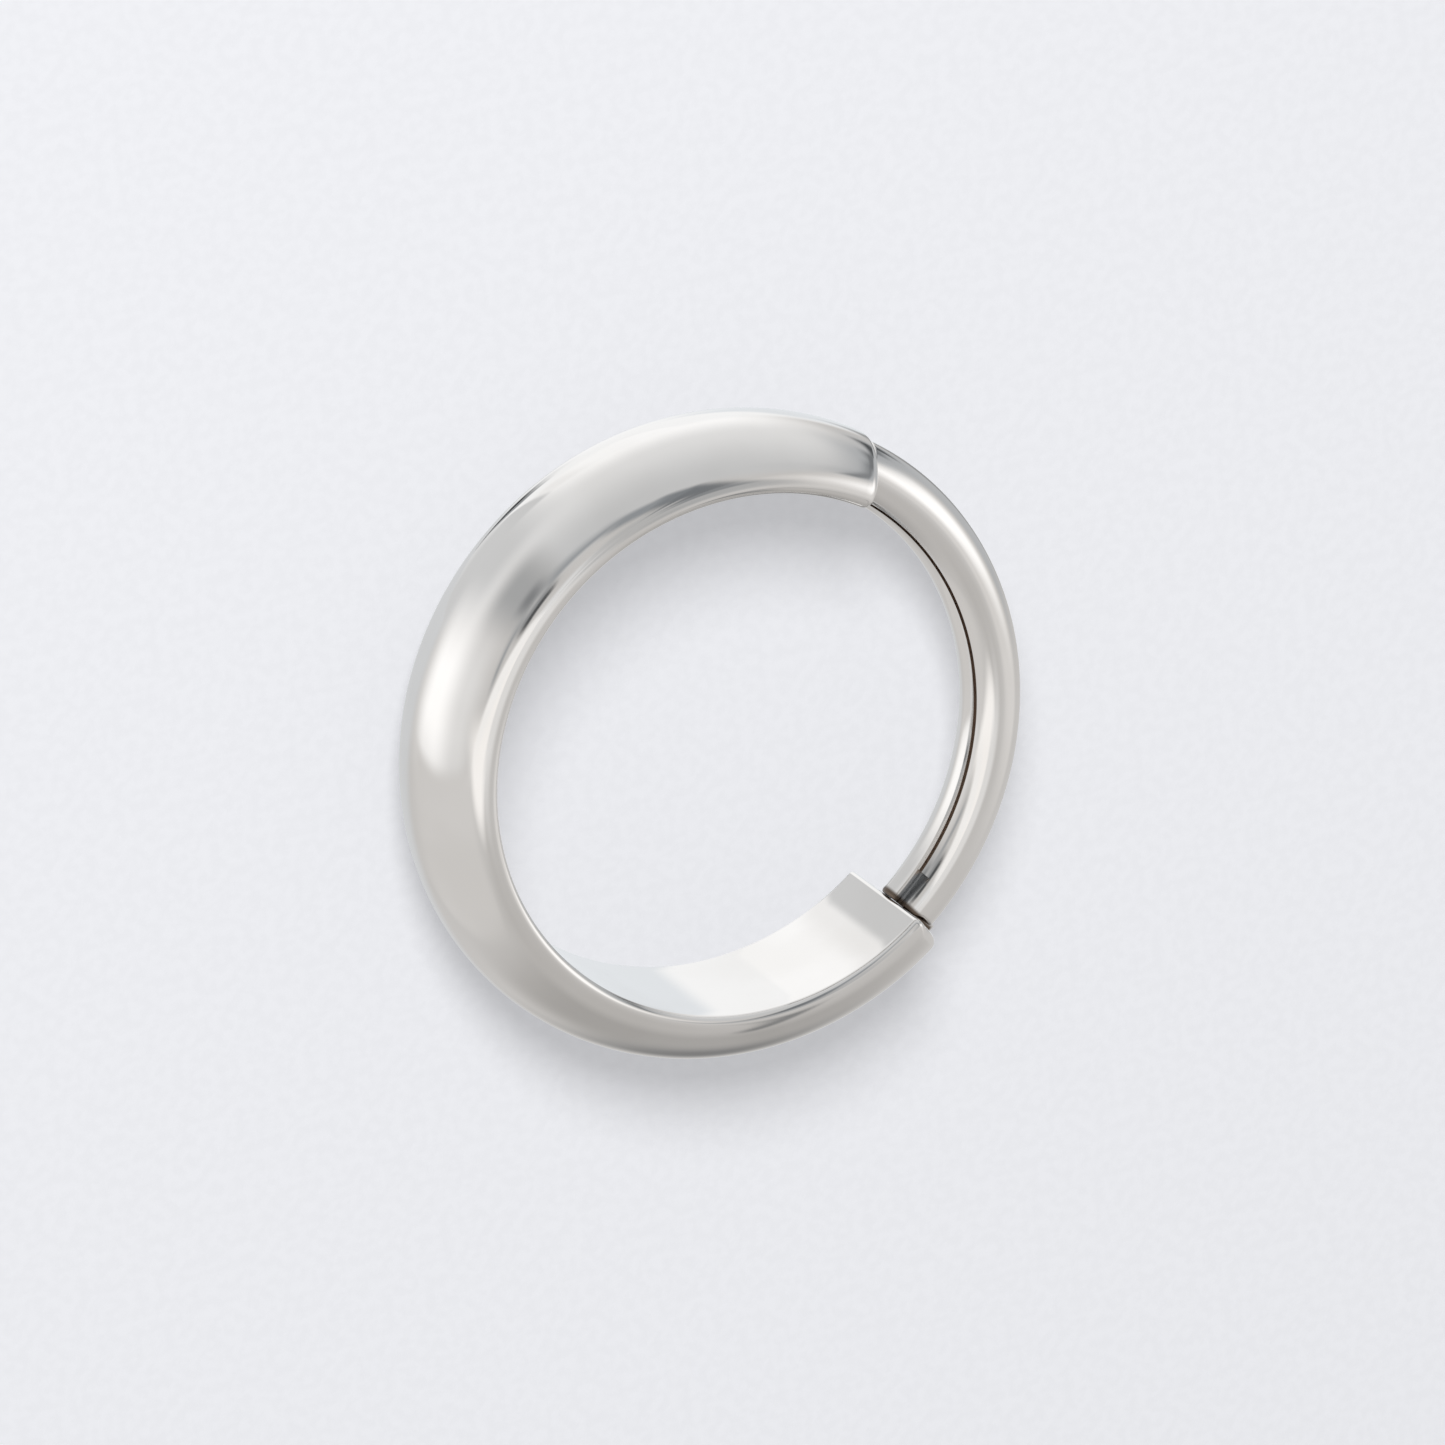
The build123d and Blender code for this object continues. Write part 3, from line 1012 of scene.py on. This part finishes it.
@dataclass
class Studio:
    """Plain pale floor, soft lights and the camera at the photograph's angle.

    Attributes:
        camera_azimuth, camera_elevation, camera_roll: How the camera stands and is rolled.
        camera_distance: How far it stands from the hoop's middle.
        picture_offset: How far the hoop's middle lies from the picture's middle.
        field_width: What the picture spans at the hoop's middle.
        sensor: The camera's sensor width in Blender's millimetres.
        clip_factor: How much nearer and farther than the hoop the camera sees.
        base_tone, base_warmth: The look of the plain surroundings.
        gain: What makes up for the light that the metal takes.
        key_azimuth, key_elevation, key_distance: Where the soft key light stands.
        key_size, key_power: How wide it is, and its power in watts.
        ambient_share: How much of the surroundings' light falls on the floor.
        floor_colour, floor_roughness, floor_shine: The look of the pale floor.
        floor_glow: How much light it gives off, like a light table.
        floor_half: Half its size.
        grain_scale, grain_detail: How many grains it has in a metre, and finer layers.
        grain_shade: How bright the grain's dark places are, against the light ones.
        grain_range: Where the dark places end and the light ones begin.
        grain_bump, grain_height: How strongly the grain tilts the floor, and its height.
    """

    camera_azimuth: float = math.radians(132.66)
    camera_elevation: float = math.radians(59.27)
    camera_roll: float = math.radians(126.19)
    camera_distance: float = 206.95 * MM
    picture_offset: Pair = (-0.0968 * MM, -0.1710 * MM)
    field_width: float = 23.511 * MM
    sensor: float = 36.0
    clip_factor: float = 20.0
    base_tone: float = 0.755
    base_warmth: float = 0.018
    gain: float = 1.09
    key_azimuth: float = math.radians(110.0)
    key_elevation: float = math.radians(47.0)
    key_distance: float = 300.0 * MM
    key_size: float = 120.0 * MM
    key_power: float = 0.490
    ambient_share: float = 0.25
    floor_colour: Colour = (0.812, 0.822, 0.858, 1.0)
    floor_glow: float = 0.508
    floor_roughness: float = 0.9
    floor_shine: float = 0.2
    floor_half: float = 400.0 * MM
    grain_scale: float = 5200.0
    grain_detail: float = 2.0
    grain_shade: float = 0.975
    grain_range: Pair = (0.35, 0.65)
    grain_bump: float = 0.10
    grain_height: float = 0.01 * MM

    def camera_axes(self) -> tuple[Vector, Vector, Vector]:
        """Returns the camera's right, up and backward axes."""
        back = direction(self.camera_azimuth, self.camera_elevation)
        level_up = (Vector((0.0, 0.0, 1.0)) - back * back.z).normalized()
        level_right = level_up.cross(back)
        up = level_up * math.cos(self.camera_roll) - level_right * math.sin(self.camera_roll)
        return up.cross(back), up, back

    def add_camera(self) -> None:
        """Adds the camera, rolled as the photograph's is."""
        right, up, back = self.camera_axes()
        data = bpy.data.cameras.new("camera")
        data.sensor_width = self.sensor
        data.lens = self.sensor * self.camera_distance / self.field_width
        data.clip_start = self.camera_distance / self.clip_factor
        data.clip_end = self.camera_distance * self.clip_factor
        camera = bpy.data.objects.new("camera", data)
        centre = Vector((0.0, 0.0, HOOP.half_width))
        spot = (centre + back * self.camera_distance - right * self.picture_offset[0]
                - up * self.picture_offset[1])
        turn = Matrix((right, up, back)).transposed().to_4x4()
        camera.matrix_world = Matrix.Translation(spot) @ turn
        bpy.context.scene.collection.objects.link(camera)
        bpy.context.scene.camera = camera

    def floor_material(self) -> bpy.types.Material:
        """Returns the floor's pale paper, with a faint grain."""
        material = bpy.data.materials.new("pale_paper")
        material.use_nodes = True
        board = NodeBoard(material.node_tree)
        spot = board.add("ShaderNodeTexCoord").outputs["Object"]
        grain = board.noise(spot, self.grain_scale, self.grain_detail)
        darker = tuple(self.grain_shade * part for part in self.floor_colour[:3]) + (1.0,)
        paper = board.mix(board.eased(grain, self.grain_range, (0.0, 1.0)), darker,
                          self.floor_colour)
        board.fill(board.tree.nodes["Principled BSDF"], {
            "Base Color": paper, "Emission Color": paper, "Emission Strength": self.floor_glow,
            "Normal": board.bump(grain, self.grain_bump, self.grain_height),
            "Roughness": self.floor_roughness, "Specular IOR Level": self.floor_shine})
        return material

    def add_floor(self) -> None:
        """Adds the pale floor, which the metal looks through to the reflectors under it."""
        half = self.floor_half
        outline = box_outline((-half, -half), (half, half))
        floor = mesh_object("floor", [(across, along, 0.0) for across, along in outline],
                            [(0, 1, 2, 3)])
        floor.data.materials.append(self.floor_material())
        floor.visible_glossy = False
        floor.visible_shadow = False

    def add_cards(self) -> None:
        """Lays the soft reflectors over plain grey surroundings."""
        world = bpy.data.worlds.new("surroundings")
        bpy.context.scene.world = world
        world.use_nodes = True
        board = NodeBoard(world.node_tree)
        way = board.add("ShaderNodeTexCoord").outputs["Generated"]
        across, along, height = board.add("ShaderNodeSeparateXYZ", {"Vector": way}).outputs
        azimuth = board.calc("DEGREES", board.calc("ARCTAN2", along, across))
        elevation = board.calc("DEGREES", board.calc("ARCSINE", height))
        base = toned_light(self.base_tone, self.base_warmth, self.gain)
        seen: Socket | Colour = base
        for card in CARDS:
            seen = board.mix(card.share(board, azimuth, elevation), seen,
                             toned_light(card.tone, card.warmth, self.gain))
        plain = board.fill(board.tree.nodes["Background"],
                           {"Color": base, "Strength": self.ambient_share})
        lit = board.add("ShaderNodeBackground", {"Color": seen})
        ray = board.add("ShaderNodeLightPath")
        unscattered = board.calc("LESS_THAN", ray.outputs["Diffuse Depth"], 0.5)
        mirrored = board.calc("MULTIPLY", ray.outputs["Is Glossy Ray"], unscattered)
        switch = board.add("ShaderNodeMixShader")
        for entry, value in zip(switch.inputs, (mirrored, plain.outputs[0], lit.outputs[0])):
            board.feed(entry, value)
        board.fill(board.tree.nodes["World Output"], {"Surface": switch.outputs["Shader"]})

    def add_key(self) -> None:
        """Adds the soft key light that casts the faint shadow."""
        data = bpy.data.lights.new("key", "AREA")
        data.shape = "DISK"
        data.size = self.key_size
        data.energy = self.key_power
        key = bpy.data.objects.new("key", data)
        back = direction(self.key_azimuth, self.key_elevation)
        turn = back.to_track_quat("Z", "Y").to_matrix().to_4x4()
        key.matrix_world = Matrix.Translation(back * self.key_distance) @ turn
        key.visible_glossy = False
        bpy.context.scene.collection.objects.link(key)

    def set_up(self) -> None:
        """Sets the whole stage."""
        self.add_floor()
        self.add_cards()
        self.add_key()
        self.add_camera()
        bpy.context.scene.view_settings.view_transform = "Standard"


def main() -> None:
    """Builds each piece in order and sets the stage."""
    logging.basicConfig(level=logging.INFO, format="%(name)s: %(message)s")
    for maker in (DomedBand(), EarWire(), HingePin()):
        maker.dress(maker.build())
    Studio().set_up()


if __name__ == "__main__":
    main()
